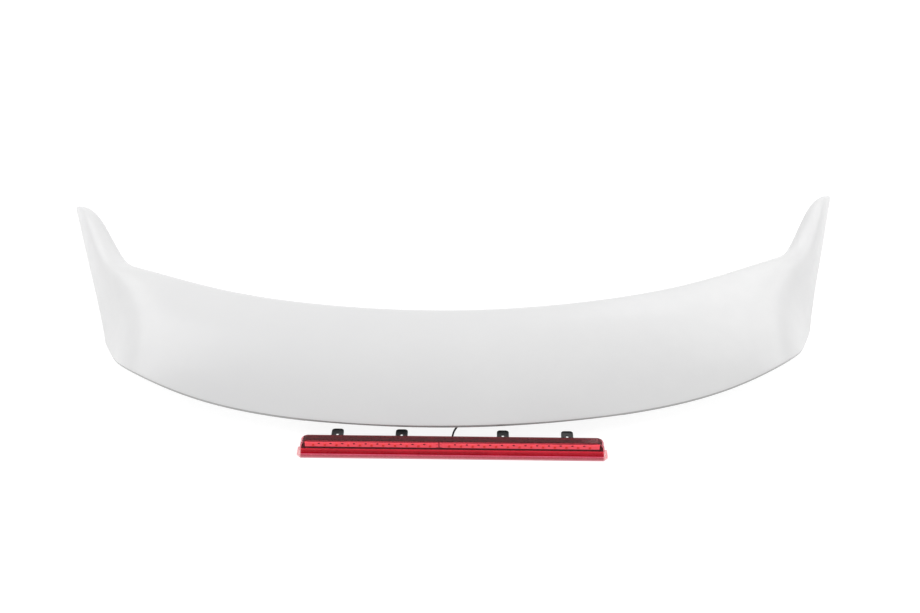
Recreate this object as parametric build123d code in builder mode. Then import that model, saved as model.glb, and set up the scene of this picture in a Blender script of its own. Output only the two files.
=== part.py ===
"""Car rear spoiler: a bridge wing on two swept legs, with its third brake lamp.

The spoiler rests on a flat surface on its lamp housing and its two heels. The lamp stands
in front of its seat, joined to the wing by its lead. X is across the car, Y points to the
front of the car and Z is up. All sizes are in millimetres.
"""

from build123d import *
from collections import namedtuple
from math import asin, atan, cos, degrees, hypot, radians, sin, tan
import os

# Wing in plan
wing_front_y = -49.0
bow_radius = 1150.0
wing_half = 536.0
chord = 203.0
shoulder_chord = 177.0
corner_chord = 113.0
corner_radius = 102.0
inner_share = 0.40
outer_share = 0.70
shoulder_share = 0.87

# Wing in section
front_height = 118.0
corner_height = 120.5
lip_height = 36.0
shoulder_height = 51.5
corner_edge_height = 19.0
nose_half = 13.0
nose_run = 17.0
nose_limit = 0.4
nose_fullness = 0.55
top_fullness = 0.42
edge_fullness = 0.40
lip_thickness = 5.0
lip_slope = 42.0
corner_slope = 64.0
nose_crease = 0.25
belly_place = 0.80
belly_drop = 14.0
throat_place = 0.33
throat_height = 50.0

# Legs, cut to lie on a sloping tailgate
leg_angle = 60.5
leg_length = 208.0
root_width = 70.7
tip_width = 31.0
flank_slope = 66.0
heel_y = 18.0
root_height = 113.0
leg_height = 126.5
leg_mid_share = 0.43
toe_height = 134.5
toe_run = 50.0
toe_share = 0.86
tip_rise = 5.0
tip_share = 0.36
gate_slope = 22.0
foot_allowance = 40.0
foot_overcut = 20.0

# Threaded inserts bonded into the feet
insert_diameter = 10.0
insert_length = 12.0
insert_bore = 5.0
insert_runs = (18.0, 112.0)

# Lamp seat and housing under the trailing edge
seat_width = 496.0
seat_height = 31.0
seat_depth = 82.0
housing_foot = 16.0
housing_run = 48.0
housing_height = 50.0
housing_margin = 6.0
pilot_diameter = 2.6
pilot_depth = 10.0

# Lamp lens
lens_length = 472.0
lens_end_lean = 4.0
lens_depth = 17.0
lens_front_lean = 3.5
lens_height = 27.0
lens_wall = 2.0
lens_corner = 13.0
lens_edge = 1.5
rim_width = 3.0
rim_front = 6.0
rim_mitre = 6.0
rim_thickness = 2.5

# Lamp base and its ears
base_thickness = 2.5
fit_gap = 0.15
ear_width = 18.5
ear_length = 18.0
ear_thickness = 2.0
ear_rim_width = 2.0
ear_rim_height = 1.2
ear_corner = 5.0
ear_hole = 5.0
ear_hole_run = 6.5
ear_height = 21.5
ear_spread = 177.0
ear_inner_spread = 78.0
ear_clearance = 2.0

# Lamp electronics
board_height = 8.0
board_thickness = 1.6
board_middle = 14.5
board_setback = 6.0
board_end_gap = 5.5
board_split = -20.0
board_gap = 1.5
led_length = 3.5
led_height = 2.8
led_depth = 1.9
led_pitch = 18.0
resistor_length = 3.2
resistor_height = 1.6
resistor_depth = 0.6
resistor_rise = 2.6
post_diameter = 5.0
post_inset = 20.0
link_length = 9.0
link_height = 1.2
link_depth = 0.6
link_rise = 2.5

# Where the lamp stands, and its lead
lamp_x = -20.0
lamp_y = -266.5
lamp_turn = -2.6
lead_diameter = 3.0
lead_height = 13.0
lead_start = 16.0
lead_finish = 20.0
lead_sag = 4.0
lead_sway = 6.0
lead_bend_share = 0.45
gland_length = 9.0
gland_diameter = 6.5
gland_tip = 4.4
grommet_x = -8.0
grommet_diameter = 8.0
grommet_length = 10.0
grommet_flange = 12.0
grommet_flange_thickness = 2.0

Station = namedtuple("Station", "turn run start width crest edge slope belly throat")
corner_turn = degrees(asin(wing_half / bow_radius))
heel_turn = 0.5 * (corner_turn + leg_angle)
lip_y = wing_front_y - chord
seat_back_y = lip_y + seat_depth
gate = Plane(
    origin=(0, heel_y, 0),
    x_dir=(1, 0, 0),
    z_dir=(0, -sin(radians(gate_slope)), cos(radians(gate_slope))),
)


def inner_edge(turn, run=0):
    """Point of the front edge of the wing, its rounded corner or the inner edge of the leg."""
    bow = radians(min(turn, corner_turn))
    x = bow_radius * sin(bow)
    y = wing_front_y + bow_radius * (1 - cos(bow))
    if turn > corner_turn:
        x += corner_radius * (sin(radians(turn)) - sin(bow))
        y += corner_radius * (cos(bow) - cos(radians(turn)))
    return x + run * cos(radians(turn)), y + run * sin(radians(turn))


def across(turn, run, width):
    """Point on the section that starts at the inner edge, a width away from it."""
    x, y = inner_edge(turn, run)
    return x + width * sin(radians(turn)), y - width * cos(radians(turn))


def leg_width(turn, run):
    """Width of a leg from its inner edge to its straight outer edge."""
    x, y = inner_edge(turn, run)
    root_x, root_y = across(leg_angle, 0, root_width)
    flank = radians(leg_angle) + atan((root_width - tip_width) / leg_length)
    reach = (root_x - x) * sin(flank) - (root_y - y) * cos(flank)
    return reach / cos(flank - radians(turn))


def wing_station(share, width, crest, edge, slope):
    """Section of the wing at a share of the way to its corner."""
    belly = edge - belly_drop
    return Station(share * corner_turn, 0, 0, width, crest, edge, slope, belly, throat_height)


def foot_height(turn, run):
    """Height of the tailgate under the outer edge of a leg."""
    return (across(turn, run, leg_width(turn, run))[1] - heel_y) * tan(radians(gate_slope))


def leg_station(turn, run, crest, share=1):
    """Section of a share of a leg at its outer edge, down to below the flat cut of the foot."""
    full_width = leg_width(turn, run)
    width = share * full_width
    foot = foot_height(turn, run)
    edge = foot - foot_overcut
    sole = foot - foot_allowance
    return Station(turn, run, full_width - width, width, crest, edge, flank_slope, sole, sole)


def station_plane(station, side):
    """Upright section plane whose X points from the inner edge to the outer edge."""
    x, y = across(station.turn, station.run, station.start)
    outward = Vector(side * sin(radians(station.turn)), -cos(radians(station.turn)), 0)
    return Plane(origin=(side * x, y, 0), x_dir=outward, z_dir=outward.cross(Vector(0, 0, 1)))


def section_outline(station):
    """Closed section: rounded nose, convex top, blunt outer edge and underside panels."""
    width, crest, edge = station.width, station.crest, station.edge
    nose = min(nose_run, nose_limit * width)
    run = width - nose
    reach = edge_fullness * hypot(run, crest - edge)
    fall_x, fall_z = cos(radians(station.slope)), sin(radians(station.slope))
    front = (0, crest - nose_half)
    top = (nose, crest)
    rim = (width, edge)
    heel = (width - lip_thickness * fall_z, edge - lip_thickness * fall_x)
    belly = (belly_place * width, station.belly)
    throat = (throat_place * width, station.throat)
    nose_pull = 1 - nose_fullness
    Bezier(front, (0, crest - nose_pull * nose_half), (nose_pull * nose, crest - nose_crease), top)
    Bezier(
        top,
        (nose + top_fullness * run, crest),
        (width - reach * fall_x, edge + reach * fall_z),
        rim,
    )
    Polyline(rim, heel, belly, throat, front)


def sections(stations):
    """Faces of all sections from the left toe to the right toe."""
    faces = []
    for side, row in ((-1, stations[:0:-1]), (1, stations)):
        for station in row:
            with BuildSketch(station_plane(station, side)) as section:
                with BuildLine():
                    section_outline(station)
                make_face()
            faces.append(section.sketch)
    return faces


stations = [
    wing_station(0, chord, front_height, lip_height, lip_slope),
    wing_station(inner_share, chord, front_height, lip_height, lip_slope),
    wing_station(outer_share, chord, front_height, shoulder_height, lip_slope),
    wing_station(shoulder_share, shoulder_chord, corner_height, shoulder_height, lip_slope),
    wing_station(1, corner_chord, corner_height, corner_edge_height, corner_slope),
    leg_station(heel_turn, 0, 0.5 * (corner_height + root_height)),
    leg_station(leg_angle, 0, root_height),
    leg_station(leg_angle, leg_mid_share * leg_length, leg_height),
    leg_station(leg_angle, leg_length - toe_run, toe_height, share=toe_share),
    leg_station(leg_angle, leg_length, foot_height(leg_angle, leg_length) + tip_rise, share=tip_share),
]

# Foot points on the tailgate, in its own plane
insert_places = []
for run in insert_runs:
    x, y = across(leg_angle, run, 0.5 * leg_width(leg_angle, run))
    for side in (-1, 1):
        insert_places.append((side * x, (y - heel_y) / cos(radians(gate_slope))))

pilot_y = seat_back_y - ear_clearance - ear_length + ear_hole_run
ear_places = (-ear_spread, -ear_inner_spread, ear_inner_spread, ear_spread)
seat_wall = Plane(origin=(grommet_x, seat_back_y, lead_height), x_dir=(1, 0, 0), z_dir=(0, 1, 0))

with BuildPart() as spoiler_body:
    loft(sections(stations))
    with BuildSketch(Plane.YZ):
        with BuildLine():
            Polyline(
                (seat_back_y, 0),
                (seat_back_y + housing_foot, 0),
                (seat_back_y + housing_run, housing_height),
                (seat_back_y, housing_height),
                close=True,
            )
        make_face()
    extrude(amount=seat_width / 2 + housing_margin, both=True)
    split(bisect_by=gate)
    split(bisect_by=Plane.XY)
    with BuildSketch():
        with Locations((0, seat_back_y)):
            Rectangle(seat_width, 2 * seat_depth, align=(Align.CENTER, Align.MAX))
    extrude(amount=seat_height, mode=Mode.SUBTRACT)
    with BuildSketch(Plane.XY.offset(seat_height)):
        with Locations([(place, pilot_y) for place in ear_places]):
            Circle(pilot_diameter / 2)
    extrude(amount=pilot_depth, mode=Mode.SUBTRACT)
    with BuildSketch(seat_wall):
        Circle(grommet_diameter / 2 + fit_gap)
    extrude(amount=grommet_length + fit_gap, mode=Mode.SUBTRACT)
    with BuildSketch(gate):
        with Locations(insert_places):
            Circle(insert_diameter / 2 + fit_gap)
    extrude(amount=insert_length + fit_gap, both=True, mode=Mode.SUBTRACT)

with BuildPart() as foot_inserts:
    with BuildSketch(gate):
        with Locations(insert_places):
            Circle(insert_diameter / 2)
            Circle(insert_bore / 2, mode=Mode.SUBTRACT)
    extrude(amount=insert_length)

with BuildPart() as seat_grommet:
    with BuildSketch(seat_wall):
        Circle(grommet_diameter / 2)
    extrude(amount=grommet_length)
    with BuildSketch(seat_wall):
        Circle(grommet_flange / 2)
    extrude(amount=-grommet_flange_thickness)

# Lamp, in its own plane: X along the lamp, Y towards its back
lamp = Plane(
    origin=(lamp_x, lamp_y, 0),
    x_dir=(cos(radians(lamp_turn)), sin(radians(lamp_turn)), 0),
    z_dir=(0, 0, 1),
)


def lamp_face(depth, towards_back=False):
    """Upright plane across the lamp, looking out of its front or out of its back."""
    front = Vector(sin(radians(lamp_turn)), -cos(radians(lamp_turn)), 0)
    return Plane(
        origin=lamp.from_local_coords((0, -depth, 0)),
        x_dir=-lamp.x_dir if towards_back else lamp.x_dir,
        z_dir=-front if towards_back else front,
    )


def lens_form(inset):
    """Tapered block of the lens with rounded upper corners, a wall smaller all round."""
    with BuildPart() as form:
        for height, share in ((inset, inset / lens_height), (lens_height - inset, 1 - inset / lens_height)):
            length = lens_length - 2 * share * lens_end_lean
            depth = lens_depth - share * lens_front_lean
            with BuildSketch(lamp.offset(height)):
                Rectangle(length - 2 * inset, depth - inset, align=(Align.CENTER, Align.MAX))
        loft()
        top = form.faces().sort_by(Axis.Z)[-1]
        fillet(top.edges().sort_by(SortBy.LENGTH)[:2], lens_corner - inset)
    return form.part


with BuildPart() as lamp_lens:
    add(lens_form(0))
    front = lamp_lens.faces().sort_by(Axis(lamp.origin, lamp.y_dir))[0]
    fillet(front.edges().sort_by(Axis.Z)[-3:], lens_edge)
    with BuildSketch(lamp) as rim:
        Rectangle(
            lens_length + 2 * rim_width, lens_depth + rim_front, align=(Align.CENTER, Align.MAX)
        )
        chamfer(rim.vertices().sort_by(Axis.Y)[:2], rim_mitre)
    extrude(amount=rim_thickness)
    add(lens_form(lens_wall), mode=Mode.SUBTRACT)

# Boards, lamps and resistors along the lamp
board_span = lens_length - 2 * (lens_end_lean + board_end_gap)
left_board = (-board_span / 2, board_split - board_gap / 2)
right_board = (board_split + board_gap / 2, board_span / 2)
board_front = lamp_face(board_setback + board_thickness)


def row_places(board, shift, rise):
    """Places along a board, one pitch apart and centred, moved along by a share of the pitch."""
    start, end = board
    count = int((end - start) / led_pitch - shift)
    first = 0.5 * (start + end) - 0.5 * (count - 1) * led_pitch
    return [(first + step * led_pitch, board_middle + rise) for step in range(count)]


def chips(places, length, height, depth):
    """Small blocks standing on the front of a board."""
    with BuildPart() as blocks:
        with BuildSketch(board_front):
            with Locations(places):
                Rectangle(length, height)
        extrude(amount=depth)
    return blocks.part


def board_plate(board):
    """Flat circuit board standing upright along the lamp."""
    start, end = board
    with BuildPart() as plate:
        with BuildSketch(lamp_face(board_setback)):
            with Locations((0.5 * (start + end), board_middle)):
                Rectangle(end - start, board_height)
        extrude(amount=board_thickness)
    return plate.part


post_places = []
for start, end in (left_board, right_board):
    post_places.append((start + post_inset, board_middle))
    post_places.append((end - post_inset, board_middle))

with BuildPart() as lamp_base:
    add(lens_form(lens_wall + fit_gap))
    split(bisect_by=lamp_face(base_thickness, towards_back=True))
    with BuildSketch(lamp.offset(ear_height)):
        with Locations([(place, -base_thickness) for place in ear_places]):
            Rectangle(ear_width, base_thickness + ear_length, align=(Align.CENTER, Align.MIN))
    extrude(amount=ear_thickness + ear_rim_height)
    ear_tips = lamp_base.edges().filter_by(Axis.Z).group_by(Axis(lamp.origin, lamp.y_dir))[-1]
    fillet(ear_tips, ear_corner)
    with BuildSketch(lamp.offset(ear_height + ear_thickness)):
        with Locations([(place, 0.5 * ear_length) for place in ear_places]):
            Rectangle(ear_width - 2 * ear_rim_width, ear_length - 2 * ear_rim_width)
    extrude(amount=ear_rim_height, mode=Mode.SUBTRACT)
    with BuildSketch(lamp.offset(ear_height)):
        with Locations([(place, ear_hole_run) for place in ear_places]):
            Circle(ear_hole / 2)
    extrude(amount=ear_thickness, mode=Mode.SUBTRACT)
    with BuildSketch(lamp_face(base_thickness)):
        with Locations(post_places):
            Circle(post_diameter / 2)
    extrude(amount=board_setback - base_thickness)

with BuildPart() as led_board_left:
    add(board_plate(left_board))

with BuildPart() as led_board_right:
    add(board_plate(right_board))

with BuildPart() as leds_left:
    add(chips(row_places(left_board, 0, 0), led_length, led_height, led_depth))

with BuildPart() as leds_right:
    add(chips(row_places(right_board, 0, 0), led_length, led_height, led_depth))

with BuildPart() as resistors_left:
    places = row_places(left_board, 1, resistor_rise)
    add(chips(places, resistor_length, resistor_height, resistor_depth))

with BuildPart() as resistors_right:
    places = row_places(right_board, 1, resistor_rise)
    add(chips(places, resistor_length, resistor_height, resistor_depth))

with BuildPart() as board_links:
    places = [(board_split, board_middle - link_rise), (board_split, board_middle + link_rise)]
    add(chips(places, link_length, link_height, link_depth))

with BuildPart() as lamp_gland:
    for run, diameter in ((0, gland_diameter), (gland_length, gland_tip)):
        with BuildSketch(lamp_face(-run, towards_back=True)):
            with Locations((0, lead_height)):
                Circle(diameter / 2)
    loft()

# Lead from the gland of the lamp to the grommet in the seat
lead_from = lamp.from_local_coords((0, gland_length, lead_height))
lead_to = Vector(grommet_x, seat_back_y - grommet_flange_thickness, lead_height)
leaving = lead_from + lamp.y_dir * lead_start
arriving = lead_to - Vector(0, lead_finish, 0)
middle = (leaving + arriving) * 0.5 + Vector(lead_sway, 0, -lead_sag)
lead_points = [lead_from, leaving, middle, arriving, lead_to]
lead_radii = []
for before, bend, after in zip(lead_points, lead_points[1:], lead_points[2:]):
    run_in, run_out = bend - before, after - bend
    half_turn = radians(run_in.get_angle(run_out)) / 2
    lead_radii.append(lead_bend_share * min(run_in.length, run_out.length) / tan(half_turn))

with BuildPart() as lamp_lead:
    with BuildLine() as lead_path:
        FilletPolyline(*lead_points, radius=lead_radii)
    with BuildSketch(Plane(origin=lead_from, z_dir=lamp.y_dir)):
        Circle(lead_diameter / 2)
    sweep()

print("lead points", [tuple(round(value, 2) for value in point) for point in lead_points])
print("lead radii", [round(radius, 1) for radius in lead_radii])
print("lead length", round(sum(edge.length for edge in lead_path.edges()), 1))

os.makedirs("parts", exist_ok=True)
spoiler_body.part.label = "spoiler_body"
export_step(spoiler_body.part, "parts/spoiler_body.step")
foot_inserts.part.label = "foot_inserts"
export_step(foot_inserts.part, "parts/foot_inserts.step")
seat_grommet.part.label = "seat_grommet"
export_step(seat_grommet.part, "parts/seat_grommet.step")
lamp_lens.part.label = "lamp_lens"
export_step(lamp_lens.part, "parts/lamp_lens.step")
lamp_base.part.label = "lamp_base"
export_step(lamp_base.part, "parts/lamp_base.step")
led_board_left.part.label = "led_board_left"
export_step(led_board_left.part, "parts/led_board_left.step")
led_board_right.part.label = "led_board_right"
export_step(led_board_right.part, "parts/led_board_right.step")
leds_left.part.label = "leds_left"
export_step(leds_left.part, "parts/leds_left.step")
leds_right.part.label = "leds_right"
export_step(leds_right.part, "parts/leds_right.step")
resistors_left.part.label = "resistors_left"
export_step(resistors_left.part, "parts/resistors_left.step")
resistors_right.part.label = "resistors_right"
export_step(resistors_right.part, "parts/resistors_right.step")
board_links.part.label = "board_links"
export_step(board_links.part, "parts/board_links.step")
lamp_gland.part.label = "lamp_gland"
export_step(lamp_gland.part, "parts/lamp_gland.step")
lamp_lead.part.label = "lamp_lead"
export_step(lamp_lead.part, "parts/lamp_lead.step")
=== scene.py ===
from collections import namedtuple
from math import asin, atan, cos, degrees, hypot, radians, sin, tan

import bmesh
import bpy
import numpy as np
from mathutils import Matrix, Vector


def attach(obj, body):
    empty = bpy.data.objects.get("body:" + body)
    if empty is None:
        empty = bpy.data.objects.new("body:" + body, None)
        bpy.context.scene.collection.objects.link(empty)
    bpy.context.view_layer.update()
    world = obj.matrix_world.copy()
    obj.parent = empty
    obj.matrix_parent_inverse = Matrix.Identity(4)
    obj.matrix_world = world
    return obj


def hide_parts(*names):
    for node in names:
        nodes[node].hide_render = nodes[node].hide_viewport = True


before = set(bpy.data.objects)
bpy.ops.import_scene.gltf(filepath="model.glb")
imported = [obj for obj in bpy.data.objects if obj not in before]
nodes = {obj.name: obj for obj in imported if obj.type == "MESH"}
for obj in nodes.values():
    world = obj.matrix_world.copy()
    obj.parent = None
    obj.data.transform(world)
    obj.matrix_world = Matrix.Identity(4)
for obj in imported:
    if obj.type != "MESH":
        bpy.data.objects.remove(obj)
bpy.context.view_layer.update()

MM = 0.001
scene = bpy.context.scene
scene.view_settings.view_transform = "Standard"

# Camera, fitted to the outline in the photograph: degrees, metres and millimetres of film

CAMERA_ELEVATION, CAMERA_AZIMUTH = 35.0, -1.6
CAMERA_DISTANCE, CAMERA_TARGET = 2.102, (-0.0015, -0.038, 0.110)
CAMERA_LENS, CAMERA_SENSOR, CAMERA_REACH = 50.0, 36.0, 50.0


def place_camera():
    elevation, azimuth = radians(CAMERA_ELEVATION), radians(CAMERA_AZIMUTH)
    away = Vector((
        sin(azimuth) * cos(elevation),
        -cos(azimuth) * cos(elevation),
        sin(elevation),
    ))
    data = bpy.data.cameras.new("camera")
    data.sensor_fit = "HORIZONTAL"
    data.sensor_width = CAMERA_SENSOR
    data.lens = CAMERA_LENS
    data.clip_end = CAMERA_REACH
    camera = bpy.data.objects.new("camera", data)
    camera.location = Vector(CAMERA_TARGET) + away * CAMERA_DISTANCE
    camera.rotation_euler = (-away).to_track_quat("-Z", "Y").to_euler()
    scene.collection.objects.link(camera)
    scene.camera = camera


place_camera()

# Shader nodes


class Shader:
    """The nodes of a material or of the world, with short ways to add and join them."""

    def __init__(self, owner):
        owner.use_nodes = True
        self.owner = owner
        self.tree = owner.node_tree

    def first(self, kind):
        return next(node for node in self.tree.nodes if node.type == kind)

    def put(self, socket, value):
        """Links a socket to another socket, or sets its value."""
        if isinstance(value, bpy.types.NodeSocket):
            self.tree.links.new(value, socket)
        else:
            socket.default_value = value

    def fill(self, node, **inputs):
        for name, value in inputs.items():
            self.put(node.inputs[name.replace("_", " ")], value)

    def add(self, kind, **inputs):
        node = self.tree.nodes.new(kind)
        self.fill(node, **inputs)
        return node

    def math(self, operation, *values):
        node = self.add("ShaderNodeMath")
        node.operation = operation
        for socket, value in zip(node.inputs, values):
            self.put(socket, value)
        return node.outputs[0]

    def blend(self, share, first, second):
        """A shader that goes from the first to the second with the share."""
        node = self.add("ShaderNodeMixShader")
        for socket, value in zip(node.inputs, (share, first, second)):
            self.put(socket, value)
        return node.outputs[0]

    def seen_directly(self):
        """1 for rays from the camera and for those that gloss and glass send on."""
        path = self.add("ShaderNodeLightPath").outputs
        share = self.math("MAXIMUM", path["Is Camera Ray"], path["Is Glossy Ray"])
        return self.math("MAXIMUM", share, path["Is Transmission Ray"])


class Paint(Shader):
    """A material under construction around its Principled shader."""

    def __init__(self, name):
        super().__init__(bpy.data.materials.new(name))
        self.bsdf = self.first("BSDF_PRINCIPLED")
        self.surface = self.first("OUTPUT_MATERIAL").inputs["Surface"]
        coordinates = self.add("ShaderNodeTexCoord").outputs
        self.place, self.facing = coordinates["Object"], coordinates["Normal"]

    def set(self, **inputs):
        self.fill(self.bsdf, **inputs)

    def axes(self, vector):
        node = self.add("ShaderNodeSeparateXYZ")
        self.put(node.inputs[0], vector)
        return node.outputs

    def noise(self, scale, detail=3.0, roughness=0.5, stretch=None):
        place = self.place
        if stretch:
            place = self.add("ShaderNodeMapping", Vector=place, Scale=stretch).outputs["Vector"]
        node = self.add(
            "ShaderNodeTexNoise", Vector=place, Scale=scale, Detail=detail, Roughness=roughness
        )
        return node.outputs["Fac"]

    def ramp(self, share, stops, low, high):
        """A colour between two, as the share goes from the first stop to the second."""
        node = self.add("ShaderNodeValToRGB", Fac=share)
        for element, stop, colour in zip(node.color_ramp.elements, stops, (low, high)):
            element.position = stop
            element.color = (*colour, 1.0)
        return node.outputs["Color"]

    def span(self, value, low, high, to_low, to_high):
        node = self.add(
            "ShaderNodeMapRange",
            Value=value, From_Min=low, From_Max=high, To_Min=to_low, To_Max=to_high,
        )
        return node.outputs["Result"]

    def mix(self, share, under, over):
        """A colour laid over another by the share."""
        node = self.add("ShaderNodeMix")
        node.data_type = "RGBA"
        colours = [socket for socket in node.inputs if socket.type == "RGBA"]
        self.put(node.inputs[0], share)
        for socket, colour in zip(colours, (under, over)):
            self.put(socket, colour if isinstance(colour, bpy.types.NodeSocket) else (*colour, 1.0))
        return next(socket for socket in node.outputs if socket.type == "RGBA")

    def bump(self, height, strength, distance, normal=None):
        node = self.add("ShaderNodeBump", Height=height, Strength=strength, Distance=distance)
        if normal is not None:
            self.put(node.inputs["Normal"], normal)
        return node.outputs["Normal"]


def dress(obj, material):
    obj.data.materials.clear()
    obj.data.materials.append(material)


# Materials

WIDE, NARROW = (0.30, 0.70), (0.35, 0.65)  # stops between which a noise goes from low to high
GRAIN_HEIGHT = 0.2 * MM


def gelcoat_paint():
    """White gelcoat, with a few specks, and painted shade: a darker grey on the edge face of the
    lip.
    """
    paint = Paint("gelcoat")
    cloud = paint.noise(3.5, detail=4.0, roughness=0.55)
    fine = paint.noise(42.0, detail=4.0, roughness=0.6)
    tone = paint.ramp(cloud, WIDE, (0.765, 0.765, 0.77), (0.805, 0.805, 0.805))
    tone = paint.mix(paint.span(fine, *NARROW, 0.0, 0.30), tone, (0.77, 0.77, 0.775))

    cells = paint.add("ShaderNodeTexVoronoi", Vector=paint.place, Scale=9.0)
    specks = paint.span(cells.outputs["Distance"], 0.006, 0.011, 1.0, 0.0)
    tone = paint.mix(specks, tone, (0.42, 0.42, 0.42))

    # painted shade: the edge face of the lip, which looks back and down, is painted a darker grey
    # for the shadow under the lip; the mask stops short of the heels
    facing, place = paint.axes(paint.facing), paint.axes(paint.place)
    lip_shade_share = paint.span(facing["Z"], 0.0, -0.15, 0.0, 1.0)
    for limit in (
        paint.span(facing["Z"], -0.90, -0.84, 0.0, 1.0),
        paint.span(facing["Y"], -0.2, -0.1, 1.0, 0.0),
        paint.span(place["Y"], -0.035, -0.020, 1.0, 0.0),
    ):
        lip_shade_share = paint.math("MULTIPLY", lip_shade_share, limit)
    painted_lip_shade = paint.ramp(fine, WIDE, (0.42, 0.42, 0.415), (0.48, 0.48, 0.475))
    tone = paint.mix(lip_shade_share, tone, painted_lip_shade)

    orange_peel = paint.bump(paint.noise(160.0, detail=2.0), 0.10, 0.6 * MM)
    sanding = paint.noise(220.0, detail=2.0, stretch=(0.25, 1.0, 1.0))
    paint.set(
        Base_Color=tone,
        Roughness=paint.span(fine, *WIDE, 0.34, 0.46),
        IOR=1.5,
        Coat_Weight=0.25,
        Coat_Roughness=0.18,
        Normal=paint.bump(sanding, 0.06, 0.4 * MM, orange_peel),
    )
    return paint.owner


# The lamp's own frame, in metres: X along it, Y from 0 at its back down to its front rim, Z up
LAMP_TURN, LAMP_SHIFT = 2.6, (0.00789, 0.26713, 0.0)
LENS_SHADE_HEIGHTS = (0.0080, 0.0110)
LENS_RIM_DEPTHS = (-0.0180, -0.0172)
LENS_END_REACHES = (0.2315, 0.2350)


def lens_paint():
    """Clear red plastic: bright above, with painted shade as a deeper red below, a dark rim and
    pale ends.
    """
    paint = Paint("red_lens")
    lamp_place = paint.add(
        "ShaderNodeMapping",
        Vector=paint.place, Rotation=(0.0, 0.0, radians(LAMP_TURN)), Location=LAMP_SHIFT,
    )
    lamp = paint.axes(lamp_place.outputs["Vector"])
    tint = paint.ramp(paint.noise(60.0), WIDE, (0.94, 0.17, 0.22), (0.98, 0.20, 0.26))
    # painted shade: the lower part of the lens is a deeper red, standing for the shade under the
    # lamp seen through its walls
    streaks = paint.noise(45.0, stretch=(0.4, 1.0, 1.0))
    painted_deep_shade = paint.ramp(streaks, WIDE, (0.50, 0.032, 0.075), (0.60, 0.052, 0.11))
    tint = paint.mix(paint.span(lamp["Z"], *LENS_SHADE_HEIGHTS, 1.0, 0.0), tint, painted_deep_shade)
    rim = paint.span(lamp["Y"], *LENS_RIM_DEPTHS, 1.0, 0.0)
    tint = paint.mix(rim, tint, (0.37, 0.07, 0.09))
    ends = paint.span(paint.math("ABSOLUTE", lamp["X"]), *LENS_END_REACHES, 0.0, 1.0)
    tint = paint.mix(ends, tint, (0.74, 0.34, 0.35))
    paint.set(
        Base_Color=tint,
        Roughness=0.06,
        Transmission_Weight=1.0,
        IOR=1.49,
        Specular_Tint=(0.45, 0.25, 0.25, 1.0),
        Normal=paint.bump(paint.noise(700.0, detail=2.0), 0.03, GRAIN_HEIGHT),
    )
    # shadow rays pass straight through, tinted, so that light reaches what is inside the lamp
    passing = paint.add("ShaderNodeBsdfTransparent", Color=(1.0, 0.50, 0.55, 1.0))
    shadow = paint.add("ShaderNodeLightPath").outputs["Is Shadow Ray"]
    shader = paint.blend(shadow, paint.bsdf.outputs[0], passing.outputs[0])
    paint.put(paint.surface, shader)
    return paint.owner


def mottled(name, mottle, stops, tones, shine, grain=None, relief=0.0, **others):
    """A material of two mottled tones.

    The shine is one roughness, or two between which it goes with the grain. The grain is the
    mottle unless it is given, and the relief says how strongly it stands out.
    """
    paint = Paint(name)
    patches = paint.noise(*mottle)
    grains = paint.noise(*grain) if grain else patches
    if isinstance(shine, tuple):
        shine = paint.span(grains, *WIDE, *shine)
    paint.set(Base_Color=paint.ramp(patches, stops, *tones), Roughness=shine, **others)
    if relief:
        paint.set(Normal=paint.bump(grains, relief, GRAIN_HEIGHT))
    return paint.owner


gelcoat = gelcoat_paint()
black_plastic = mottled(
    "black_plastic", (60.0,), WIDE, ((0.010, 0.010, 0.011), (0.022, 0.022, 0.024)),
    (0.38, 0.55), grain=(900.0, 2.0, 0.6), relief=0.25,
)
black_rubber = mottled(
    "black_rubber", (80.0,), WIDE, ((0.008, 0.008, 0.008), (0.020, 0.020, 0.020)),
    (0.5, 0.7), grain=(500.0, 3.0, 0.6), relief=0.2,
)
lead_jacket = mottled(
    "lead_jacket", (300.0, 2.0), WIDE, ((0.006, 0.006, 0.007), (0.016, 0.016, 0.017)),
    (0.35, 0.5),
)
insert_brass = mottled(
    "insert_brass", (400.0, 3.0, 0.6), WIDE, ((0.55, 0.38, 0.14), (0.70, 0.52, 0.24)),
    (0.28, 0.45), Metallic=1.0,
)
red_lens = lens_paint()
circuit_board = mottled(
    "circuit_board", (120.0,), NARROW, ((0.86, 0.85, 0.82), (0.92, 0.91, 0.88)), 0.4,
    # a weak glow stands for the light that the lens gathers on the boards
    Emission_Color=(1.0, 0.92, 0.90, 1.0), Emission_Strength=0.32,
)
led_package = mottled(
    "led_package", (300.0,), NARROW, ((0.80, 0.62, 0.30), (0.92, 0.80, 0.50)), 0.2
)
chip_body = mottled(
    "chip_body", (300.0,), NARROW, ((0.02, 0.02, 0.02), (0.06, 0.06, 0.06)), 0.5
)
solder = mottled(
    "solder", (300.0,), NARROW, ((0.60, 0.60, 0.60), (0.75, 0.75, 0.74)), 0.35, Metallic=1.0
)

for material, names in (
    (insert_brass, ("foot_inserts",)),
    (black_rubber, ("seat_grommet", "lamp_gland")),
    (red_lens, ("lamp_lens",)),
    (black_plastic, ("lamp_base",)),
    (circuit_board, ("led_board_left", "led_board_right")),
    (led_package, ("leds_left", "leds_right")),
    (chip_body, ("resistors_left", "resistors_right")),
    (solder, ("board_links",)),
):
    for name in names:
        dress(nodes[name], material)

# Spoiler body: a finer skin on the stations of the CAD, in millimetres and degrees. Its legs are
# slimmer, its flanks fuller, its corner rim lower and the edge of its lip steeper than in the CAD,
# to follow the photograph.

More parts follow.
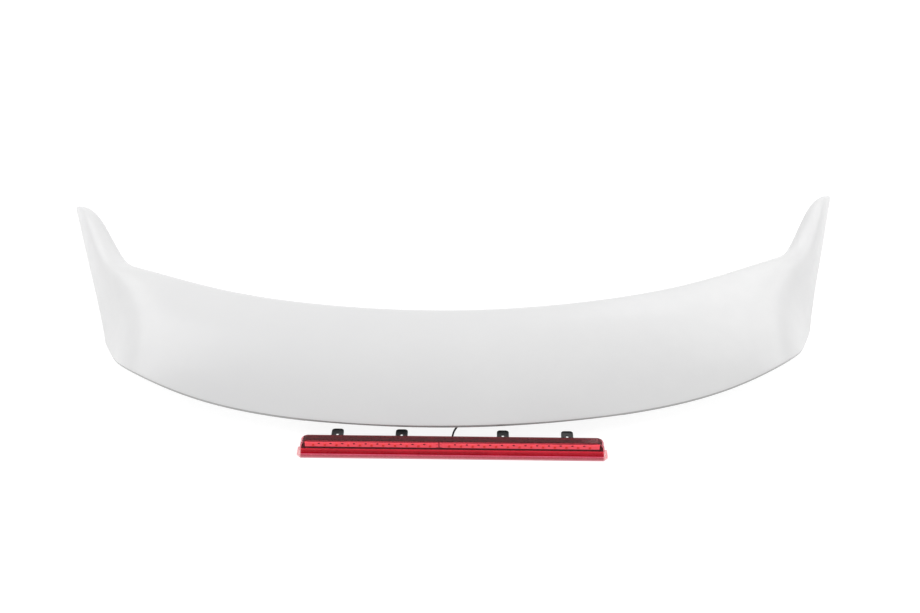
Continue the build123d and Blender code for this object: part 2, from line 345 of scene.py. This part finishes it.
wing_front_y, wing_half, bow_radius = -49.0, 536.0, 1150.0
chord, shoulder_chord, corner_chord, corner_radius = 203.0, 178.0, 118.0, 102.0
inner_share, outer_share, shoulder_share = 0.40, 0.70, 0.87
front_height, corner_height = 118.0, 120.5
lip_height, shoulder_height, corner_edge_height = 36.0, 51.5, 11.0
lip_thickness, lip_lean, lip_slope, corner_slope = 5.0, 1.2, 42.0, 64.0
nose_half, nose_run, nose_limit, nose_fullness = 13.0, 17.0, 0.4, 0.55
top_fullness, edge_fullness = 0.42, 0.40
belly_place, belly_drop, throat_place, throat_height = 0.80, 14.0, 0.33, 50.0

leg_angle, leg_length, root_width, tip_width = 60.5, 208.0, 64.2, 24.5
root_height, leg_height, leg_mid_share = 113.0, 126.5, 0.43
toe_height, toe_run, toe_share = 134.5, 50.0, 0.86
tip_rise, tip_share = 5.0, 0.36
heel_slope, root_slope, leg_slope = 68.0, 72.0, 76.0
heel_fullness, root_fullness, leg_fullness = 0.58, 0.75, 0.90
heel_y, heel_swell, gate_slope, foot_allowance, foot_overcut = 18.0, 1.5, 22.0, 40.0, 5.0

seat_width, seat_height, seat_depth, seat_overcut = 496.0, 31.0, 82.0, 5.0
housing_foot, housing_run, housing_height, housing_margin = 16.0, 48.0, 50.0, 6.0
pilot_diameter, pilot_depth, ear_spreads = 2.6, 10.0, (-177.0, -78.0, 78.0, 177.0)
ear_length, ear_hole_run, ear_clearance = 18.0, 6.5, 2.0
grommet_x, lead_height, grommet_diameter, grommet_length = -8.0, 13.0, 8.0, 10.0
insert_diameter, insert_length, insert_runs = 10.0, 12.0, (18.0, 112.0)
bond_gap = 0.15  # room around the grommet and the inserts

row_spacing, fewest_rows = 5.0, 3
nose_points, top_points, rim_points = 12, 56, 3
tuck_points, belly_points, throat_points = 10, 14, 16
edge_width, edge_segments, edge_angle, sharp_angle = 0.9, 2, 38.0, 26.0
bore_segments, cutter_overlap = 28, 2.0

corner_turn = degrees(asin(wing_half / bow_radius))
heel_turn = 0.5 * (corner_turn + leg_angle)
seat_back_y = wing_front_y - chord + seat_depth
gate_rise = tan(radians(gate_slope))
gate_up = (0, -sin(radians(gate_slope)), cos(radians(gate_slope)))

Station = namedtuple("Station", "turn run start width crest edge slope belly throat fullness")


def inner_edge(turn, run=0):
    """A place on the inner edge: along the bow, around the corner, then straight along the leg."""
    bow = radians(min(turn, corner_turn))
    x = bow_radius * sin(bow)
    y = wing_front_y + bow_radius * (1 - cos(bow))
    if turn > corner_turn:
        x += corner_radius * (sin(radians(turn)) - sin(bow))
        y += corner_radius * (cos(bow) - cos(radians(turn)))
    return x + run * cos(radians(turn)), y + run * sin(radians(turn))


def across(turn, run, width):
    """A place at a distance from the inner edge, square to it."""
    x, y = inner_edge(turn, run)
    return x + width * sin(radians(turn)), y - width * cos(radians(turn))


def leg_width(turn, run):
    """The distance from the inner edge to the straight outer line of the leg."""
    x, y = inner_edge(turn, run)
    root_x, root_y = across(leg_angle, 0, root_width)
    flank = radians(leg_angle) + atan((root_width - tip_width) / leg_length)
    reach = (root_x - x) * sin(flank) - (root_y - y) * cos(flank)
    return reach / cos(flank - radians(turn))


def foot_height(turn, run):
    return (across(turn, run, leg_width(turn, run))[1] - heel_y) * gate_rise


def wing_station(share, width, crest, edge, slope):
    return Station(
        share * corner_turn, 0, 0, width, crest, edge, slope,
        edge - belly_drop, throat_height, top_fullness,
    )


def leg_station(turn, run, crest, slope, fullness, share=1, swell=0.0):
    full_width = leg_width(turn, run) + swell
    width = share * full_width
    foot = foot_height(turn, run)
    sole = foot - foot_allowance
    return Station(
        turn, run, full_width - width, width, crest, foot - foot_overcut, slope,
        sole, sole, fullness,
    )


def bezier(points, count):
    """Points on a Bezier line, without its end."""
    t = np.linspace(0, 1, count, endpoint=False)[:, None]
    line = [np.array([point], float) for point in points]
    while len(line) > 1:
        line = [a * (1 - t) + b * t for a, b in zip(line, line[1:])]
    return line[0]


def outline(station):
    """The closed section at a station: distance from the inner edge, and height."""
    width, crest, edge = station.width, station.crest, station.edge
    nose = min(nose_run, nose_limit * width)
    run = width - nose
    reach = edge_fullness * hypot(run, crest - edge)
    fall_x, fall_z = cos(radians(station.slope)), sin(radians(station.slope))
    pull = 1 - nose_fullness
    front, top, rim = (0, crest - nose_half), (nose, crest), (width, edge)
    low_rim = (width - lip_lean, edge - lip_thickness)
    belly, throat = (belly_place * width, station.belly), (throat_place * width, station.throat)
    front_pull, nose_pull = (0, crest - pull * nose_half), (pull * nose, crest)
    top_pull = (nose + station.fullness * run, crest)
    rim_pull = (width - reach * fall_x, edge + reach * fall_z)
    return np.concatenate([
        bezier([front, front_pull, nose_pull, top], nose_points),
        bezier([top, top_pull, rim_pull, rim], top_points),
        bezier([rim, low_rim], rim_points),
        bezier([low_rim, belly], tuck_points),
        bezier([belly, throat], belly_points),
        bezier([throat, front], throat_points),
    ])


def ring(station, side):
    """A station's section as places, on the left (-1) or right (1) side."""
    turn = radians(station.turn)
    x, y = across(station.turn, station.run, station.start)
    flat = outline(station)
    return np.stack(
        [side * (x + flat[:, 0] * sin(turn)), y - flat[:, 0] * cos(turn), flat[:, 1]], 1
    )


def smooth_rows(rows, spacing):
    """Rows on a smooth cubic line through the given rows, spaced by their mean distance."""
    rows = np.array(rows)
    step = np.array([np.mean(np.linalg.norm(b - a, axis=1)) for a, b in zip(rows, rows[1:])])
    n = len(rows)
    flat = rows.reshape(n, -1)
    matrix = np.zeros((n, n))
    right = np.zeros_like(flat)
    matrix[0, 0] = matrix[-1, -1] = 1
    for i in range(1, n - 1):
        before, after = step[i - 1], step[i]
        matrix[i, i - 1 : i + 2] = before, 2 * (before + after), after
        right[i] = 6 * ((flat[i + 1] - flat[i]) / after - (flat[i] - flat[i - 1]) / before)
    curve = np.linalg.solve(matrix, right)
    out = []
    for i, length in enumerate(step):
        count = max(fewest_rows, int(round(length / spacing)))
        for k in range(count + (1 if i == n - 2 else 0)):
            u = length * k / count
            w = length - u
            out.append(
                (curve[i] * w**3 + curve[i + 1] * u**3) / (6 * length)
                + (flat[i] / length - curve[i] * length / 6) * w
                + (flat[i + 1] / length - curve[i + 1] * length / 6) * u
            )
    return np.array(out).reshape(len(out), -1, 3)


def close_tube(bm, loops):
    """Joins loops of vertices into a closed tube."""
    count = len(loops[0])
    for a, b in zip(loops, loops[1:]):
        for k in range(count):
            after = (k + 1) % count
            bm.faces.new((a[k], a[after], b[after], b[k]))
    bm.faces.new(loops[0][::-1])
    bm.faces.new(loops[-1])
    bmesh.ops.recalc_face_normals(bm, faces=bm.faces)


def cut(bm, place, up):
    """Cuts away what lies below a plane and closes the mesh there."""
    parts = bm.verts[:] + bm.edges[:] + bm.faces[:]
    bmesh.ops.bisect_plane(bm, geom=parts, plane_co=place, plane_no=up, clear_inner=True)
    rim = [edge for edge in bm.edges if len(edge.link_faces) == 1]
    bmesh.ops.holes_fill(bm, edges=rim, sides=0)


def mesh_object(name, bm):
    mesh = bpy.data.meshes.new(name)
    bm.to_mesh(mesh)
    bm.free()
    obj = bpy.data.objects.new(name, mesh)
    scene.collection.objects.link(obj)
    return obj


def settle(obj):
    """Makes the modifiers of an object part of its mesh."""
    deps = bpy.context.evaluated_depsgraph_get()
    done = bpy.data.meshes.new_from_object(obj.evaluated_get(deps))
    obj.modifiers.clear()
    obj.data = done


def block(points, low, high, axis):
    """A closed block: an outline across an axis (X or Z), carried from low to high along it."""
    bm = bmesh.new()
    loops = [
        [bm.verts.new(Vector((end, *q) if axis == "X" else (*q, end)) * MM) for q in points]
        for end in (low, high)
    ]
    close_tube(bm, loops)
    return mesh_object("cutter", bm)


def drill(place, direction, radius, depth):
    """A round cutter that reaches a depth into the body from a place on its surface."""
    bm = bmesh.new()
    bmesh.ops.create_cone(
        bm, cap_ends=True, segments=bore_segments,
        radius1=radius * MM, radius2=radius * MM, depth=(depth + cutter_overlap) * MM,
    )
    obj = mesh_object("cutter", bm)
    inward = Vector(direction).normalized()
    obj.rotation_euler = inward.to_track_quat("Z", "Y").to_euler()
    obj.location = (Vector(place) + inward * (depth - cutter_overlap) / 2) * MM
    return obj


def combine(obj, tools, operation):
    for tool in tools:
        modifier = obj.modifiers.new("join", "BOOLEAN")
        modifier.operation = operation
        modifier.solver = "EXACT"
        modifier.object = tool
    bpy.context.view_layer.update()
    settle(obj)
    for tool in tools:
        bpy.data.objects.remove(tool)


def spoiler_stations():
    """Stations from the middle of the wing to the tip of a leg."""
    heel_height = 0.5 * (corner_height + root_height)
    tip_height = foot_height(leg_angle, leg_length) + tip_rise
    mid_run, toe_start = leg_mid_share * leg_length, leg_length - toe_run
    return [
        wing_station(0, chord, front_height, lip_height, lip_slope),
        wing_station(inner_share, chord, front_height, lip_height, lip_slope),
        wing_station(outer_share, chord, front_height, shoulder_height, lip_slope),
        wing_station(shoulder_share, shoulder_chord, corner_height, shoulder_height, lip_slope),
        wing_station(1, corner_chord, corner_height, corner_edge_height, corner_slope),
        leg_station(heel_turn, 0, heel_height, heel_slope, heel_fullness, swell=heel_swell),
        leg_station(leg_angle, 0, root_height, root_slope, root_fullness),
        leg_station(leg_angle, mid_run, leg_height, leg_slope, leg_fullness),
        leg_station(leg_angle, toe_start, toe_height, leg_slope, leg_fullness, toe_share),
        leg_station(leg_angle, leg_length, tip_height, leg_slope, leg_fullness, tip_share),
    ]


def seat_tools():
    """Cutters for the lamp seat and for the bores in the seat and the feet."""
    half = 0.5 * seat_width
    seat_end_y = seat_back_y - 2 * seat_depth
    corners = [(-half, seat_back_y), (half, seat_back_y), (half, seat_end_y), (-half, seat_end_y)]
    tools = [block(corners, -seat_overcut, seat_height, "Z")]
    pilot_y = seat_back_y - ear_clearance - ear_length + ear_hole_run
    for x in ear_spreads:
        tools.append(
            drill((x, pilot_y, seat_height), (0, 0, 1), 0.5 * pilot_diameter, pilot_depth)
        )
    tools.append(drill(
        (grommet_x, seat_back_y, lead_height), (0, 1, 0),
        0.5 * grommet_diameter + bond_gap, grommet_length + bond_gap,
    ))
    for run in insert_runs:
        x, y = across(leg_angle, run, 0.5 * leg_width(leg_angle, run))
        for side in (-1, 1):
            tools.append(drill(
                (side * x, y, (y - heel_y) * gate_rise), gate_up,
                0.5 * insert_diameter + bond_gap, insert_length + bond_gap,
            ))
    return tools


def build_spoiler():
    stations = spoiler_stations()
    rings = [ring(st, -1) for st in stations[:0:-1]] + [ring(st, 1) for st in stations]
    bm = bmesh.new()
    rows = smooth_rows(rings, row_spacing)
    close_tube(bm, [[bm.verts.new(Vector(place) * MM) for place in row] for row in rows])
    cut(bm, (0, heel_y * MM, 0), gate_up)
    cut(bm, (0, 0, 0), (0, 0, 1))
    bmesh.ops.recalc_face_normals(bm, faces=bm.faces)
    obj = mesh_object("spoiler_skin", bm)

    bevel = obj.modifiers.new("edge", "BEVEL")
    bevel.width = edge_width * MM
    bevel.segments = edge_segments
    bevel.limit_method = "ANGLE"
    bevel.angle_limit = radians(edge_angle)
    settle(obj)

    housing_half = 0.5 * seat_width + housing_margin
    housing = [
        (seat_back_y, 0), (seat_back_y + housing_foot, 0),
        (seat_back_y + housing_run, housing_height), (seat_back_y, housing_height),
    ]
    combine(obj, [block(housing, -housing_half, housing_half, "X")], "UNION")
    combine(obj, seat_tools(), "DIFFERENCE")

    bm = bmesh.new()
    bm.from_mesh(obj.data)
    for edge in bm.edges:
        edge.smooth = len(edge.link_faces) == 2 and edge.calc_face_angle() < radians(sharp_angle)
    for face in bm.faces:
        face.smooth = True
    bm.to_mesh(obj.data)
    bm.free()
    dress(obj, gelcoat)
    return obj


spoiler = build_spoiler()
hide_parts("spoiler_body")
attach(spoiler, "root")

# Lead from the lamp to the grommet, on the route points of the CAD

lead_points = [
    (-19.59, -257.51, 13.0), (-18.87, -241.53, 13.0), (-7.43, -216.76, 9.0),
    (-8.0, -192.0, 13.0), (-8.0, -172.0, 13.0),
]
lead_radius, lead_sides, lead_steps, lead_order = 1.5, 5, 16, 3


def build_lead():
    curve = bpy.data.curves.new("lamp_lead_jacket", "CURVE")
    curve.dimensions = "3D"
    curve.bevel_depth = lead_radius * MM
    curve.bevel_resolution = lead_sides
    curve.resolution_u = lead_steps
    curve.use_fill_caps = True
    spline = curve.splines.new("NURBS")
    spline.points.add(len(lead_points) - 1)
    for point, place in zip(spline.points, lead_points):
        point.co = (*[q * MM for q in place], 1.0)
    spline.order_u = lead_order
    spline.use_endpoint_u = True
    curve.materials.append(lead_jacket)
    obj = bpy.data.objects.new("lamp_lead_jacket", curve)
    scene.collection.objects.link(obj)
    return obj


lead = build_lead()
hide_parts("lamp_lead")
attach(lead, "root")

# Floor and light: both the floor and the world look white to the camera, gloss and glass

FLOOR_SIZE = 30
FLOOR_TONE = (0.85, 0.85, 0.85, 1.0)
FLOOR_SEEN_TONE, FLOOR_SEEN_GLOW = (0.28, 0.28, 0.28, 1.0), 0.87
WHITE = (1.0, 1.0, 1.0, 1.0)
WORLD_LIGHT, WORLD_SEEN = 0.60, 1.0


def floor_paint():
    """White where it is seen, with the shadow of the part; pale where it lights the part."""
    paint = Shader(bpy.data.materials.new("floor_white"))
    paint.tree.nodes.remove(paint.first("BSDF_PRINCIPLED"))
    lit = paint.add("ShaderNodeBsdfDiffuse", Color=FLOOR_TONE)
    shadowed = paint.add("ShaderNodeBsdfDiffuse", Color=FLOOR_SEEN_TONE)
    glow = paint.add("ShaderNodeEmission", Color=WHITE, Strength=FLOOR_SEEN_GLOW)
    seen = paint.add("ShaderNodeAddShader")
    paint.put(seen.inputs[0], shadowed.outputs[0])
    paint.put(seen.inputs[1], glow.outputs[0])
    shader = paint.blend(paint.seen_directly(), lit.outputs[0], seen.outputs[0])
    paint.put(paint.first("OUTPUT_MATERIAL").inputs["Surface"], shader)
    return paint.owner


def light_world():
    scene.world = bpy.data.worlds.new("world")
    sky = Shader(scene.world)
    lit = sky.first("BACKGROUND")
    sky.fill(lit, Color=WHITE, Strength=WORLD_LIGHT)
    seen = sky.add("ShaderNodeBackground", Color=WHITE, Strength=WORLD_SEEN)
    shader = sky.blend(sky.seen_directly(), lit.outputs[0], seen.outputs[0])
    sky.put(sky.first("OUTPUT_WORLD").inputs["Surface"], shader)


def area(name, place, aim, size, power):
    data = bpy.data.lights.new(name, "AREA")
    data.shape = "RECTANGLE"
    data.size, data.size_y = size
    data.energy = power
    obj = bpy.data.objects.new(name, data)
    obj.location = place
    obj.rotation_euler = (Vector(aim) - Vector(place)).to_track_quat("-Z", "Y").to_euler()
    scene.collection.objects.link(obj)


bpy.ops.mesh.primitive_plane_add(size=FLOOR_SIZE, location=(0, 0, 0))
floor = bpy.context.object
floor.name = "floor"
dress(floor, floor_paint())

light_world()
area("left", (-1.9, 0.3, 1.8), (-0.2, 0.0, 0.05), (2.0, 2.0), 20.5)
area("right", (1.9, 0.3, 1.8), (0.2, 0.0, 0.05), (2.0, 2.0), 18.5)
area("front", (1.1, 1.7, 1.9), (0.2, 0.0, 0.05), (1.2, 0.8), 5.0)
area("top", (-0.2, -0.2, 3.0), (0.0, -0.1, 0.0), (3.0, 2.0), 4.0)
